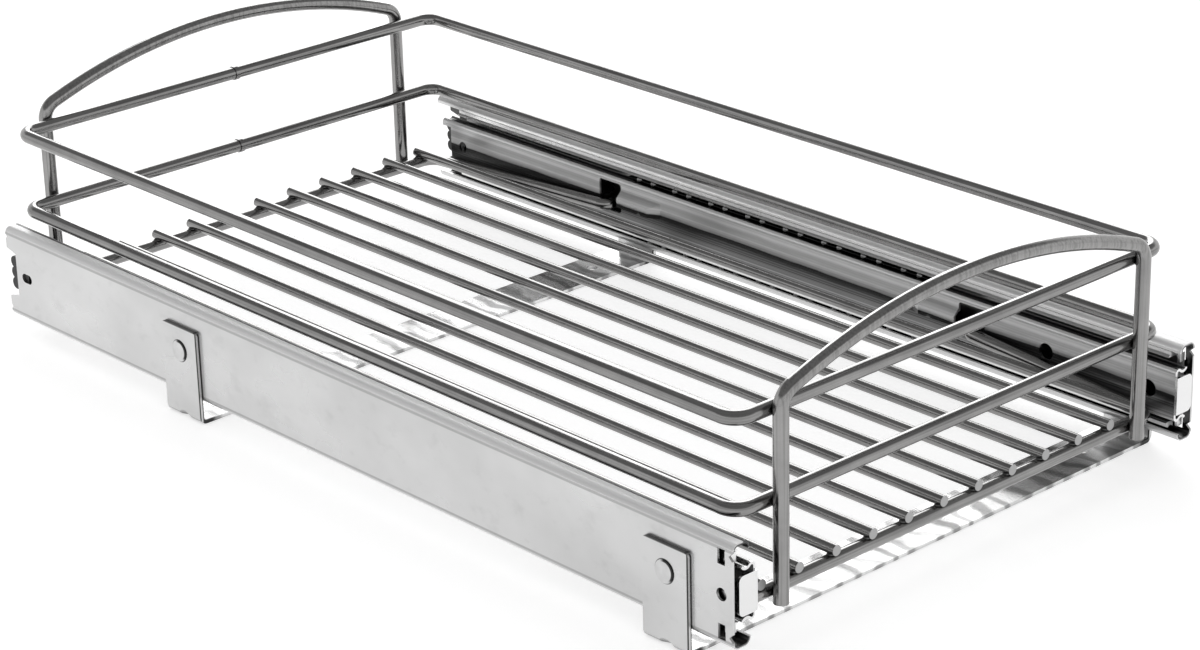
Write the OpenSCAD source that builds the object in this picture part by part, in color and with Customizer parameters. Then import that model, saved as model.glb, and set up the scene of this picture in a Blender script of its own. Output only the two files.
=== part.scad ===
// Pull out wire basket on two full extension ball bearing slides.
// X runs across the cabinet, the basket pulls out along minus Y, Z is up.
// The origin is under the middle of the part, on the underside of the straps.

/* [Slides] */

// Width over the two cabinet members
slide_span = 285; // [220:1:420]
// Length of a cabinet member
slide_length = 500; // [400:5:600]
// Height of a slide
slide_height = 45.7; // [40:0.1:50]
// Thickness of a slide
slide_thickness = 12.7; // [12:0.1:14]
// Height of the slides above the cabinet floor
slide_lift = 10.4; // [7:0.1:16]
// Sheet of the cabinet member
outer_sheet = 1.2; // [1:0.1:1.5]
// Sheet of the intermediate member
middle_sheet = 1.1; // [1:0.1:1.3]
// Sheet of the drawer member
inner_sheet = 1.2; // [1:0.1:1.4]
// Ball diameter
ball_d = 4; // [3.6:0.1:4.2]
// Ball clearance in a race
race_gap = 0.1; // [0.05:0.01:0.15]
// Distance of the outer ball rows from the cabinet side
ball_offset = 6.6; // [6.4:0.1:6.9]
// Distance of the inner ball rows from the cabinet side
inner_ball_offset = 7.6; // [7.4:0.1:7.8]
// Extra height between an outer and an inner ball row
row_gap = 0.85; // [0.5:0.05:1]
// Lip of the cabinet member below the ball centre
outer_lip = 0.4; // [0.3:0.1:1.5]
// Lip end of the intermediate member above the ball centre
middle_lip = 2.2; // [1.8:0.1:2.5]
// Groove end of the drawer member below the ball row, in degrees
groove_angle = 32; // [30:1:40]
// Inside bend radius of the drawer member edges
inner_edge_r = 0.9; // [0.7:0.1:1]
// Shoulder beside a ball race
race_shoulder = 0.7; // [0.4:0.1:0.9]
// Gap between nested members
member_gap = 0.3; // [0.25:0.01:0.35]
// Front end of the intermediate member web behind the slide front
middle_front = 3.5; // [2:0.1:5]
// Flanges of the intermediate member behind the front end of its web
flange_setback = 3; // [2:0.1:5]
// Reach of the end tabs of the intermediate member
end_tab_reach = 2.2; // [1.4:0.1:2.4]
// Height of the end tabs of the intermediate member
end_tab_height = 4.4; // [3:0.1:4.8]
// Rear end of the intermediate member before the slide rear
middle_rear = 16; // [15:0.5:30]
// Rear end of the drawer member before the slide rear
inner_rear = 7; // [5:0.5:14]
// Sheet of a ball retainer
retainer_sheet = 0.5; // [0.4:0.05:0.55]
// Inner retainers behind their foremost place
inner_retainer_lead = 21; // [2:1:30]
// Outer retainers behind their foremost place
outer_retainer_lead = 15; // [2:1:26]
// Retainers shorter than half a slide
retainer_short = 44; // [40:1:90]
// Ball pairs in a row
ball_pairs = 8; // [4:1:8]
// Share of the pair pitch between the balls of a pair
pair_share = 0.39; // [0.35:0.01:0.5]

/* [Cabinet member openings] */

// Round web hole diameter
web_hole_d = 5.6; // [4:0.1:7]
// Round web hole behind the front end
web_hole_y = 6; // [5:0.1:9]
// Rectangular web slot length
web_slot_length = 4.2; // [3:0.1:6]
// Rectangular web slot height
web_slot_height = 6.8; // [5:0.1:7]
// Rectangular web slots above and below the middle
web_slot_z = 16.3; // [14:0.1:16.5]
// Rear oblong slot length
rear_slot_length = 8; // [6:0.1:10]
// Rear oblong slot height
rear_slot_height = 4.6; // [4:0.1:6]
// Rear oblong slot before the rear end
rear_slot_y = 16; // [14:0.1:20]
// Rear notch depth
rear_notch_depth = 7.5; // [5:0.1:9]
// Rear notch height at its floor
rear_notch_height = 21.5; // [18:0.1:24]
// Rear notch flare on each side
rear_notch_flare = 1.8; // [1:0.1:3]
// Relief radius in the rear edge of the web
rear_relief_r = 1; // [0.6:0.1:1.5]
// Reliefs above and below the middle
rear_relief_z = 18.3; // [17.5:0.1:19]
// Depth of the front notches where the web meets the folds
front_notch_depth = 2; // [1:0.1:3]
// Height of the front notches
front_notch_height = 3.6; // [2:0.1:3.6]
// Front notches above and below the middle
front_notch_z = 17.6; // [17:0.1:17.7]

/* [Drawer member openings] */

// Round access hole diameter
access_hole_d = 8; // [6:0.1:9]
// First access hole behind the front end
access_hole_front = 14.5; // [12:0.1:20]
// Second access hole behind the front end
access_hole_rear = 73; // [50:0.5:90]
// Hook hole length
hook_hole_length = 16; // [14:0.1:20]
// Hook hole top above the slide middle
hook_hole_top = 9.6; // [7:0.1:9.7]
// Hook hole bottom below the slide middle
hook_hole_bottom = 6.2; // [5.5:0.1:8]
// Hook hole corner radius
hook_hole_r = 1.6; // [0.8:0.1:2.4]
// Louvre length
louvre_length = 29; // [20:0.5:34]
// Louvre height
louvre_height = 8; // [6:0.1:9]
// Louvre bottom below the slide middle
louvre_bottom = 1.6; // [0:0.1:2]
// Louvre stand off from the web
louvre_depth = 3.4; // [2.5:0.1:4]
// Notch radius in the louvre edge
louvre_notch_r = 1.5; // [1:0.1:2]
// Front stop flange height
stop_height = 17.6; // [14:0.1:19]
// Front stop flange corner radius
stop_corner_r = 2.5; // [1:0.1:4]
// Rear tab hole width
tab_hole_width = 5.8; // [4:0.1:7]
// Rear tab hole before the rear end
tab_hole_y = 16; // [12:0.1:20]
// Rear web notch depth
inner_notch_depth = 6.5; // [3:0.1:8]
// Rear web notch height
inner_notch_height = 18; // [14:0.1:19]

/* [Rear bumpers] */

// Bumper height
bumper_height = 17; // [13:0.1:17.4]
// Bumper rear lobe radius
bumper_lobe_r = 3; // [2:0.1:3.4]
// Bumper body length
bumper_length = 11.6; // [8:0.1:12]
// Bumper reach inwards from the cabinet member's outer face
bumper_reach = 5; // [4:0.1:6]

/* [Basket] */

// Ring centre lines inside the slide faces
ring_inset = 13.2; // [10:0.1:16]
// Ring corner radius
ring_corner_r = 8; // [5:0.5:40]
// Height of the lower ring
lower_ring_z = 62; // [60:0.1:82]
// Height of the upper ring
upper_ring_z = 100.8; // [90:0.2:152]
// Legs inside the outer floor wires
leg_inset = 7.5; // [6:0.1:9]
// Front legs behind the slide front
leg_front = 5; // [4.6:0.1:6.5]
// Rear legs behind the slide rear
leg_rear_past = 5.3; // [4:0.1:7]
// Height of the leg ends
leg_bottom = 18.4; // [15.4:0.1:19.4]
// Height of the middle of the arch
arch_top = 128.8; // [118:0.2:182]
// Arch radius
arch_r = 300; // [240:5:500]
// Bend radius at the top of a leg
arch_corner_r = 9; // [7:0.1:14]
// Floor wires
floor_wire_count = 12; // [8:1:14]
// Gap between an outer floor wire and an arm
floor_side_gap = 2.9; // [1:0.1:6]
// Floor wires past the support rods
floor_overhang = 2.6; // [1.5:0.1:3]
// Height of the support rods
rod_z = 22.6; // [21:0.1:23.4]
// Height of the hooks at the ends of the climbing support rod arms
arm_z = 30.7; // [29.9:0.1:31.6]
// Gap between an arm and the slide
arm_gap = 0.3; // [0.2:0.05:0.6]
// Bend radius at the support rod corners
rod_corner_r = 7; // [5:0.5:12]
// Bend radius of an arm hook
hook_bend_r = 4.2; // [3.8:0.1:5]
// Straight end of an arm hook
hook_end = 1.4; // [1:0.1:2]
// Front arm hook behind the slide front
front_hook_y = 117.5; // [100:0.5:140]
// Rear arm hook before the slide rear
rear_hook_past = 138.5; // [110:0.5:160]

/* [Wires] */

// Leg and arch rod diameter
leg_d = 6.6; // [5:0.1:8]
// Ring wire diameter
ring_d = 6.2; // [5:0.1:7]
// Support rod diameter
rod_d = 6.2; // [5:0.1:6.4]
// Floor wire diameter
floor_d = 4.8; // [4:0.1:6]
// Depth that welded wires sink into each other
weld_sink = 0.4; // [0.2:0.05:0.6]
// Height of a ring butt weld over the wire
butt_rise = 0.5; // [0.3:0.1:0.8]
// Length of a ring butt weld
butt_length = 2.4; // [1.5:0.1:4]

/* [Brackets] */

// Strap thickness
strap_t = 1.8; // [1.5:0.1:2.5]
// Strap width
strap_width = 26; // [22:0.5:34]
// Front strap centre behind the slide front
front_strap_y = 36; // [30:0.5:60]
// Rear strap centre before the slide rear
rear_strap_past = 143; // [90:0.5:180]
// Height of the side tabs
tab_top = 45.3; // [40:0.1:48]
// Corner radius of a side tab
tab_corner_r = 2.2; // [1.5:0.1:5]
// Inside bend radius of a strap
strap_bend_r = 1.4; // [0.8:0.1:2.2]
// Depth of the dent in a strap bend
gusset_depth = 1.2; // [0.6:0.1:1.4]
// Radius of the dent in a strap bend
gusset_r = 8; // [5:0.5:10]
// Height of the rivets
rivet_z = 33.4; // [30:0.1:35]
// Rivet head diameter
rivet_head_d = 10.2; // [8:0.1:11]
// Rivet head height
rivet_head_h = 1.2; // [0.8:0.1:1.6]
// Rivet edge height
rivet_edge_h = 0.4; // [0.2:0.05:0.5]
// Rivet shank diameter
rivet_d = 5; // [4:0.1:6]
// Clearance round a rivet shank
rivet_gap = 0.05; // [0.02:0.01:0.08]
// Screw hole diameter
screw_hole_d = 5.5; // [4:0.1:6.5]
// Screw holes inside the slides
screw_hole_inset = 17.8; // [10:0.1:40]

/* [Hidden] */

$fn = 64;

// Overrun of every cut
cut = 1;
// Halves of a size, and shares that follow the size beside them
half_share = 0.5;
strip_reach_share = 0.3;
louvre_notch_share = 0.55;
louvre_skew_share = 0.4;
tab_share = 0.3;
rib_share = 0.9;
rib_sink_share = 0.25;

slide_mid_z = slide_lift + slide_height / 2;
race_r = ball_d / 2 + race_gap;
outer_fold_r = race_r + outer_sheet;
outer_ball_z = slide_height / 2 - outer_fold_r;
outer_race_z = outer_ball_z - race_r;
middle_fold_r = race_r + middle_sheet;
middle_top = outer_race_z - row_gap;
inner_ball_z = middle_top - middle_fold_r;
groove_r = race_r + inner_sheet;
edge_r = inner_edge_r + inner_sheet;
// Where the bent edge of the drawer member meets its groove, both on the same line
groove_reach = race_r + inner_edge_r + inner_sheet;
edge_x = slide_thickness - edge_r;
edge_z = inner_ball_z - sqrt(pow(groove_reach, 2) - pow(edge_x - inner_ball_offset, 2));

outer_retainer_x = outer_sheet + member_gap;
middle_x = outer_retainer_x + retainer_sheet + member_gap;
inner_retainer_x = middle_x + middle_sheet + member_gap;
// Width of a strip that carries a ball row, past the ball centre
strip_reach = ball_d * strip_reach_share;
pocket_r = ball_d / 2 + race_gap / 2;
shoulder_half = race_r - member_gap;

// Each hook stands in the middle of its hole, which ends where its louvre starts
rear_hook_y = slide_length - rear_hook_past;
front_louvre_y = front_hook_y + hook_hole_length / 2;
rear_louvre_y = rear_hook_y - hook_hole_length / 2;
// The slanted roof of a louvre takes more of the height than its sheet alone
louvre_skew = inner_sheet * louvre_skew_share;

middle_length = slide_length - middle_front - middle_rear;
// Full extension: the basket travels one slide length, a retainer stays in both its races
inner_retainer_front = slide_length / 4 + inner_retainer_lead;
outer_retainer_front = slide_length / 4 + outer_retainer_lead;
retainer_length = slide_length / 2 - retainer_short;
inner_length = slide_length - inner_rear;
pair_pitch = retainer_length / ball_pairs;
pair_distance = pair_pitch * pair_share;

// The drawer member web faces the basket
web_face_x = slide_span / 2 - slide_thickness;
arm_x = web_face_x - arm_gap - rod_d / 2;
floor_width = 2 * (arm_x - rod_d / 2 - floor_side_gap - floor_d / 2);
leg_x = floor_width / 2 - leg_inset;
ring_width = slide_span - 2 * ring_inset;
screw_hole_x = web_face_x - screw_hole_inset;
rear_strap_y = slide_length - rear_strap_past;

leg_rear = slide_length + leg_rear_past;
ring_front = leg_front + leg_d / 2 + ring_d / 2 - weld_sink;
ring_rear = leg_rear - leg_d / 2 - ring_d / 2 + weld_sink;
rod_front = leg_front + leg_d / 2 + rod_d / 2 - weld_sink;
rod_rear = leg_rear - leg_d / 2 - rod_d / 2 + weld_sink;
floor_z = rod_z + rod_d / 2 + floor_d / 2 - weld_sink;
floor_front = rod_front - floor_overhang;
floor_rear = rod_rear + floor_overhang;
floor_pitch = floor_width / (floor_wire_count - 1);

arch_centre_z = arch_top - arch_r;
arch_corner_x = leg_x - arch_corner_r;
arch_corner_z = arch_centre_z + sqrt(pow(arch_r - arch_corner_r, 2) - pow(arch_corner_x, 2));
arch_angle = asin(arch_corner_x / (arch_r - arch_corner_r));

// The row origin stands under the middle of the box
box_front = -inner_sheet;
box_rear = leg_rear + leg_d / 2;
row_shift = -(box_front + box_rear) / 2;

strap_outer_r = strap_bend_r + strap_t;
tab_x = slide_span / 2;
// The dent's rod lies this far out from the centre of the bend, its rib keeps most of the sheet
gusset_out = strap_outer_r - gusset_depth + gusset_r;
rib_r = gusset_r + strap_t * rib_share;
rib_x = tab_x + strap_t * rib_sink_share;
rib_z = strap_t - strap_t * rib_sink_share;
rib_reach = strap_outer_r + strap_t;
// The bumper stops the intermediate member
bumper_front = slide_length - middle_rear + member_gap;

steel = [0.78, 0.79, 0.81];
steel_middle = [0.66, 0.68, 0.71];
chrome_tint = [0.86, 0.87, 0.89];
wire_tint = [0.55, 0.56, 0.58];
cage_tint = [0.2, 0.2, 0.22];
plastic_tint = [0.06, 0.06, 0.07];

// Shared shapes

module along_y(front, length) {
    translate([0, front + length, 0]) {
        rotate([90, 0, 0]) {
            linear_extrude(height = length) {
                children();
            }
        }
    }
}

module on_side(side) {
    if (side == "left") {
        translate([-slide_span / 2, 0, slide_mid_z]) {
            children();
        }
    } else {
        mirror([1, 0, 0]) {
            translate([-slide_span / 2, 0, slide_mid_z]) {
                children();
            }
        }
    }
}

module top_and_bottom() {
    children();
    mirror([0, 1]) {
        children();
    }
}

// A quarter of a flat ring that starts at the given angle
module quarter_ring(outer_r, inner_r, start) {
    rotate([0, 0, start]) {
        intersection() {
            difference() {
                circle(r = outer_r);
                circle(r = inner_r);
            }
            square([outer_r + cut, outer_r + cut]);
        }
    }
}

// A straight wire along X, Y or Z
module wire_x(d, length) {
    rotate([0, 90, 0]) {
        cylinder(d = d, h = length);
    }
}

module wire_y(d, length) {
    rotate([-90, 0, 0]) {
        cylinder(d = d, h = length);
    }
}

// A bent wire in the XY plane round the origin
module bend(d, r, angle) {
    rotate_extrude(angle = angle) {
        translate([r, 0]) {
            circle(d = d);
        }
    }
}

// Slides, drawn for the left side with X measured from the cabinet

module outer_profile() {
    translate([0, -outer_ball_z]) {
        square([outer_sheet, 2 * outer_ball_z]);
    }
    top_and_bottom() {
        translate([outer_fold_r, outer_ball_z]) {
            quarter_ring(outer_fold_r, race_r, 90);
        }
        translate([outer_fold_r, outer_ball_z + race_r]) {
            square([ball_offset - outer_fold_r, outer_sheet]);
        }
        translate([ball_offset, outer_ball_z]) {
            quarter_ring(outer_fold_r, race_r, 0);
        }
        translate([ball_offset + race_r, outer_ball_z - outer_lip]) {
            square([outer_sheet, outer_lip]);
        }
    }
}

module middle_profile() {
    translate([middle_x, -inner_ball_z]) {
        square([middle_sheet, 2 * inner_ball_z]);
    }
    top_and_bottom() {
        difference() {
            union() {
                translate([middle_x + middle_fold_r, inner_ball_z]) {
                    quarter_ring(middle_fold_r, race_r, 90);
                }
                translate([middle_x + middle_fold_r, inner_ball_z + race_r]) {
                    square([inner_ball_offset - middle_x - middle_fold_r, middle_sheet]);
                }
                intersection() {
                    translate([inner_ball_offset, inner_ball_z]) {
                        circle(r = middle_fold_r);
                    }
                    translate([inner_ball_offset, inner_ball_z + middle_lip]) {
                        square([middle_fold_r, middle_fold_r]);
                    }
                }
                // Shoulders beside the outer ball row
                translate([ball_offset - shoulder_half, inner_ball_z + race_r]) {
                    square([2 * shoulder_half, outer_race_z + race_shoulder - inner_ball_z - race_r]);
                }
            }
            translate([ball_offset, outer_ball_z]) {
                circle(r = race_r);
            }
            translate([inner_ball_offset, inner_ball_z]) {
                circle(r = race_r);
            }
        }
    }
}

module inner_profile() {
    translate([slide_thickness - inner_sheet, -edge_z]) {
        square([inner_sheet, 2 * edge_z]);
    }
    top_and_bottom() {
        // Bent edge, from the web to the groove
        intersection() {
            translate([edge_x, edge_z]) {
                difference() {
                    circle(r = edge_r);
                    circle(r = inner_edge_r);
                }
            }
            polygon([[edge_x, edge_z], [inner_ball_offset, inner_ball_z],
                [slide_thickness + cut, inner_ball_z], [slide_thickness + cut, edge_z]]);
        }
        // Groove that carries the balls
        intersection() {
            translate([inner_ball_offset, inner_ball_z]) {
                difference() {
                    circle(r = groove_r);
                    circle(r = race_r);
                }
            }
            polygon([[inner_ball_offset, inner_ball_z], [edge_x, edge_z],
                [edge_x, inner_ball_z - groove_reach],
                [inner_ball_offset - groove_reach, inner_ball_z - groove_reach],
                [inner_ball_offset - groove_reach * cos(groove_angle),
                inner_ball_z - groove_reach * sin(groove_angle)]]);
        }
    }
}

// An opening through a web, outlined in length and height
module web_cut(x, sheet, y, z) {
    translate([x - cut, y, z]) {
        rotate([90, 0, 90]) {
            linear_extrude(height = sheet + 2 * cut) {
                children();
            }
        }
    }
}

module outer_member(side) {
    on_side(side) {
        difference() {
            along_y(0, slide_length) {
                outer_profile();
            }
            web_cut(0, outer_sheet, web_hole_y, 0) {
                circle(d = web_hole_d);
            }
            for (z = [-web_slot_z, web_slot_z]) {
                web_cut(0, outer_sheet, web_hole_y, z) {
                    square([web_slot_length, web_slot_height], center = true);
                }
            }
            web_cut(0, outer_sheet, slide_length - rear_slot_y, 0) {
                square([rear_slot_length - rear_slot_height, rear_slot_height], center = true);
                for (way = [-half_share, half_share]) {
                    translate([way * (rear_slot_length - rear_slot_height), 0]) {
                        circle(d = rear_slot_height);
                    }
                }
            }
            web_cut(0, outer_sheet, slide_length, 0) {
                polygon([[-rear_notch_depth, -rear_notch_height / 2],
                    [0, -rear_notch_height / 2 - rear_notch_flare],
                    [cut, -rear_notch_height / 2 - rear_notch_flare],
                    [cut, rear_notch_height / 2 + rear_notch_flare],
                    [0, rear_notch_height / 2 + rear_notch_flare],
                    [-rear_notch_depth, rear_notch_height / 2]]);
            }
            for (z = [-front_notch_z, front_notch_z]) {
                web_cut(0, outer_sheet, 0, z) {
                    polygon([[-cut, -front_notch_height / 2], [0, -front_notch_height / 2],
                        [front_notch_depth, 0], [0, front_notch_height / 2],
                        [-cut, front_notch_height / 2]]);
                }
            }
            for (z = [-rear_relief_z, rear_relief_z]) {
                web_cut(0, outer_sheet, slide_length, z) {
                    circle(r = rear_relief_r);
                }
            }
            for (y = [front_strap_y, rear_strap_y]) {
                web_cut(0, outer_sheet, y, rivet_z - slide_mid_z) {
                    circle(d = rivet_d + 2 * rivet_gap);
                }
            }
        }
    }
}

module middle_member(side) {
    tab_low = inner_ball_z - member_gap;
    on_side(side) {
        along_y(middle_front + flange_setback, middle_length - flange_setback) {
            middle_profile();
        }
        // The web stands forward and ends in two tabs bent out of it
        translate([middle_x, middle_front, -tab_low - end_tab_height]) {
            cube([middle_sheet, flange_setback, 2 * (tab_low + end_tab_height)]);
        }
        for (z = [-tab_low - end_tab_height, tab_low]) {
            translate([middle_x, middle_front, z]) {
                cube([middle_sheet + end_tab_reach, middle_sheet, end_tab_height]);
            }
        }
    }
}

// Louvre of the drawer member, open below and at its hook end
module louvre_solid() {
    intersection() {
        along_y(0, louvre_length) {
            polygon([[0, 0], [louvre_depth, 0],
                [louvre_depth, louvre_height - louvre_depth], [0, louvre_height]]);
        }
        translate([0, 0, -cut]) {
            linear_extrude(height = louvre_height + 2 * cut) {
                polygon([[0, 0], [louvre_depth, 0],
                    [louvre_depth, louvre_length - 2 * louvre_depth], [0, louvre_length]]);
            }
        }
    }
}

module louvre() {
    difference() {
        louvre_solid();
        louvre_hollow();
        translate([-cut, louvre_length * louvre_notch_share, 0]) {
            wire_x(2 * louvre_notch_r, louvre_depth + 2 * cut);
        }
    }
}

module louvre_hollow() {
    translate([0, -cut, -cut]) {
        intersection() {
            along_y(0, louvre_length + cut - inner_sheet) {
                polygon([[-cut, 0], [louvre_depth - inner_sheet, 0],
                    [louvre_depth - inner_sheet, louvre_height + cut - louvre_depth],
                    [0, louvre_height + cut - inner_sheet - louvre_skew],
                    [-cut, louvre_height + cut - inner_sheet - louvre_skew]]);
            }
            linear_extrude(height = louvre_height + 2 * cut) {
                polygon([[-cut, 0], [louvre_depth - inner_sheet, 0],
                    [louvre_depth - inner_sheet, louvre_length + cut - 2 * louvre_depth],
                    [0, louvre_length + cut - 2 * inner_sheet],
                    [-cut, louvre_length + cut - 2 * inner_sheet]]);
            }
        }
    }
}

module hook_hole(start, length) {
    height = hook_hole_bottom + hook_hole_top;
    web_cut(slide_thickness - inner_sheet, inner_sheet, start, -hook_hole_bottom) {
        translate([hook_hole_r, 0]) {
            square([length - 2 * hook_hole_r, height]);
        }
        translate([0, hook_hole_r]) {
            square([length, height - 2 * hook_hole_r]);
        }
        for (y = [hook_hole_r, length - hook_hole_r], z = [hook_hole_r, height - hook_hole_r]) {
            translate([y, z]) {
                circle(r = hook_hole_r);
            }
        }
    }
}

module louvre_slot() {
    translate([slide_thickness - inner_sheet - cut, 0, 0]) {
        cube([inner_sheet + cut, louvre_length - 2 * inner_sheet,
            louvre_height - inner_sheet - louvre_skew]);
    }
}

module inner_member(side) {
    on_side(side) {
        difference() {
            union() {
                along_y(0, inner_length) {
                    inner_profile();
                }
                translate([slide_thickness, front_louvre_y, -louvre_bottom]) {
                    louvre();
                }
                translate([slide_thickness, rear_louvre_y, -louvre_bottom]) {
                    mirror([0, 1, 0]) {
                        louvre();
                    }
                }
                // Front stop flange
                translate([0, 0, -stop_height / 2]) {
                    along_y(-inner_sheet, inner_sheet) {
                        stop_outline();
                    }
                }
            }
            for (y = [access_hole_front, access_hole_rear]) {
                web_cut(slide_thickness - inner_sheet, inner_sheet, y, 0) {
                    circle(d = access_hole_d);
                }
            }
            hook_hole(front_louvre_y - hook_hole_length, hook_hole_length);
            hook_hole(rear_louvre_y, hook_hole_length);
            translate([0, front_louvre_y, -louvre_bottom]) {
                louvre_slot();
            }
            translate([0, rear_louvre_y, -louvre_bottom]) {
                mirror([0, 1, 0]) {
                    louvre_slot();
                }
            }
            // Rear web notch for the bumper
            translate([slide_thickness - inner_sheet - cut, inner_length - inner_notch_depth,
                -inner_notch_height / 2]) {
                cube([inner_sheet + 2 * cut, inner_notch_depth + cut, inner_notch_height]);
            }
            // Small hole with its tab near the rear end
            web_cut(slide_thickness - inner_sheet, inner_sheet, inner_length - tab_hole_y, 0) {
                difference() {
                    circle(d = tab_hole_width);
                    translate([0, -tab_hole_width / 2]) {
                        square([tab_hole_width * tab_share, tab_hole_width], center = true);
                    }
                }
            }
        }
    }
}

module stop_outline() {
    stop_x = middle_x + member_gap;
    translate([0, stop_height / 2]) {
        translate([stop_x + stop_corner_r, -stop_height / 2]) {
            square([slide_thickness - stop_x - stop_corner_r, stop_height]);
        }
        translate([stop_x, -stop_height / 2 + stop_corner_r]) {
            square([stop_corner_r, stop_height - 2 * stop_corner_r]);
        }
        top_and_bottom() {
            translate([stop_x + stop_corner_r, stop_height / 2 - stop_corner_r]) {
                circle(r = stop_corner_r);
            }
        }
    }
}

// A retainer is a channel whose two strips carry the ball rows
module retainer(side, web_x, row_x, row_z, front) {
    on_side(side) {
        difference() {
            union() {
                translate([web_x, front, -row_z - retainer_sheet / 2]) {
                    cube([retainer_sheet, retainer_length, 2 * row_z + retainer_sheet]);
                }
                for (z = [-row_z, row_z]) {
                    translate([web_x, front, z - retainer_sheet / 2]) {
                        cube([row_x + strip_reach - web_x, retainer_length, retainer_sheet]);
                    }
                }
            }
            ball_places(row_x, row_z, front) {
                cylinder(r = pocket_r, h = retainer_sheet + 2 * cut, center = true);
            }
        }
    }
}

module ball_places(row_x, row_z, front) {
    for (z = [-row_z, row_z]) {
        for (i = [0 : ball_pairs - 1], way = [-half_share, half_share]) {
            translate([row_x, front + (i + half_share) * pair_pitch + way * pair_distance, z]) {
                children();
            }
        }
    }
}

module balls(side, row_x, row_z, front) {
    on_side(side) {
        ball_places(row_x, row_z, front) {
            sphere(d = ball_d);
        }
    }
}

module rear_bumper(side) {
    on_side(side) {
        translate([outer_sheet, bumper_front, -bumper_height / 2]) {
            cube([bumper_reach - outer_sheet, bumper_length, bumper_height]);
        }
        for (way = [-1, 0, 1]) {
            translate([outer_sheet, bumper_front + bumper_length,
                way * (bumper_height / 2 - bumper_lobe_r)]) {
                wire_x(2 * bumper_lobe_r, bumper_reach - outer_sheet);
            }
        }
    }
}

// Brackets

module strap_half_profile() {
    translate([0, 0]) {
        square([tab_x + strap_t - strap_outer_r, strap_t]);
    }
    translate([tab_x + strap_t - strap_outer_r, strap_outer_r]) {
        quarter_ring(strap_outer_r, strap_bend_r, -90);
    }
}

module side_tab() {
    // Outline in length and height, from the bend up
    width = strap_width - 2 * tab_corner_r;
    height = tab_top - strap_outer_r;
    translate([-strap_width / 2, 0]) {
        square([strap_width, height - tab_corner_r]);
    }
    translate([-width / 2, 0]) {
        square([width, height]);
    }
    for (way = [-half_share, half_share]) {
        translate([way * width, height - tab_corner_r]) {
            circle(r = tab_corner_r);
        }
    }
}

// A rod lying across the middle of the bend, slanted like it
module gusset_rod(r) {
    translate([tab_x + strap_t - strap_outer_r, 0, strap_outer_r]) {
        rotate([0, 45, 0]) {
            translate([gusset_out, 0, 0]) {
                cylinder(r = r, h = 4 * rib_reach, center = true);
            }
        }
    }
}

// The pressed rib that stands inside the bend
module gusset_rib() {
    intersection() {
        gusset_rod(rib_r);
        along_y(-rib_r, 2 * rib_r) {
            polygon([[rib_x, rib_z], [rib_x, rib_z + rib_reach], [rib_x - rib_reach, rib_z]]);
        }
    }
}

module half_bracket(y) {
    difference() {
        union() {
            translate([0, y, 0]) {
                gusset_rib();
            }
            along_y(y - strap_width / 2, strap_width) {
                strap_half_profile();
            }
            translate([tab_x, y, strap_outer_r]) {
                rotate([90, 0, 90]) {
                    linear_extrude(height = strap_t) {
                        side_tab();
                    }
                }
            }
        }
        translate([0, y, 0]) {
            gusset_rod(gusset_r);
        }
        translate([tab_x - cut, y, rivet_z]) {
            wire_x(rivet_d + 2 * rivet_gap, strap_t + 2 * cut);
        }
        translate([screw_hole_x, y, -cut]) {
            cylinder(d = screw_hole_d, h = strap_t + 2 * cut);
        }
    }
}

module bracket(y) {
    half_bracket(y);
    mirror([1, 0, 0]) {
        half_bracket(y);
    }
}

module rivet() {
    // Lies along X, its head outside the tab
    cap_h = rivet_head_h - rivet_edge_h;
    cap_r = (pow(rivet_head_d / 2, 2) + pow(cap_h, 2)) / (2 * cap_h);
    translate([tab_x - outer_sheet, 0, 0]) {
        wire_x(rivet_d, strap_t + outer_sheet);
    }
    translate([tab_x + strap_t, 0, 0]) {
        rotate([0, 90, 0]) {
            rotate_extrude() {
                square([rivet_head_d / 2, rivet_edge_h]);
                intersection() {
                    translate([0, rivet_head_h - cap_r]) {
                        circle(r = cap_r);
                    }
                    square([rivet_head_d / 2, rivet_head_h]);
                }
            }
        }
    }
}

module bracket_rivets() {
    for (y = [front_strap_y, rear_strap_y]) {
        translate([0, y, rivet_z]) {
            rivet();
            mirror([1, 0, 0]) {
                rivet();
            }
        }
    }
}

// Basket

module ring(z) {
    straight_x = ring_width / 2 - ring_corner_r;
    straight_y = ring_rear - ring_front - 2 * ring_corner_r;
    for (y = [ring_front, ring_rear]) {
        translate([-straight_x, y, z]) {
            wire_x(ring_d, 2 * straight_x);
        }
    }
    for (way = [-1, 1]) {
        translate([way * ring_width / 2, ring_front + ring_corner_r, z]) {
            wire_y(ring_d, straight_y);
        }
    }
    translate([straight_x, ring_rear - ring_corner_r, z]) {
        bend(ring_d, ring_corner_r, 90);
    }
    translate([-straight_x, ring_rear - ring_corner_r, z]) {
        rotate([0, 0, 90]) {
            bend(ring_d, ring_corner_r, 90);
        }
    }
    translate([-straight_x, ring_front + ring_corner_r, z]) {
        rotate([0, 0, 180]) {
            bend(ring_d, ring_corner_r, 90);
        }
    }
    translate([straight_x, ring_front + ring_corner_r, z]) {
        rotate([0, 0, 270]) {
            bend(ring_d, ring_corner_r, 90);
        }
    }
    // Butt weld where the ring is closed
    translate([-butt_length / 2, ring_rear, z]) {
        wire_x(ring_d + 2 * butt_rise, butt_length);
    }
}

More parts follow.
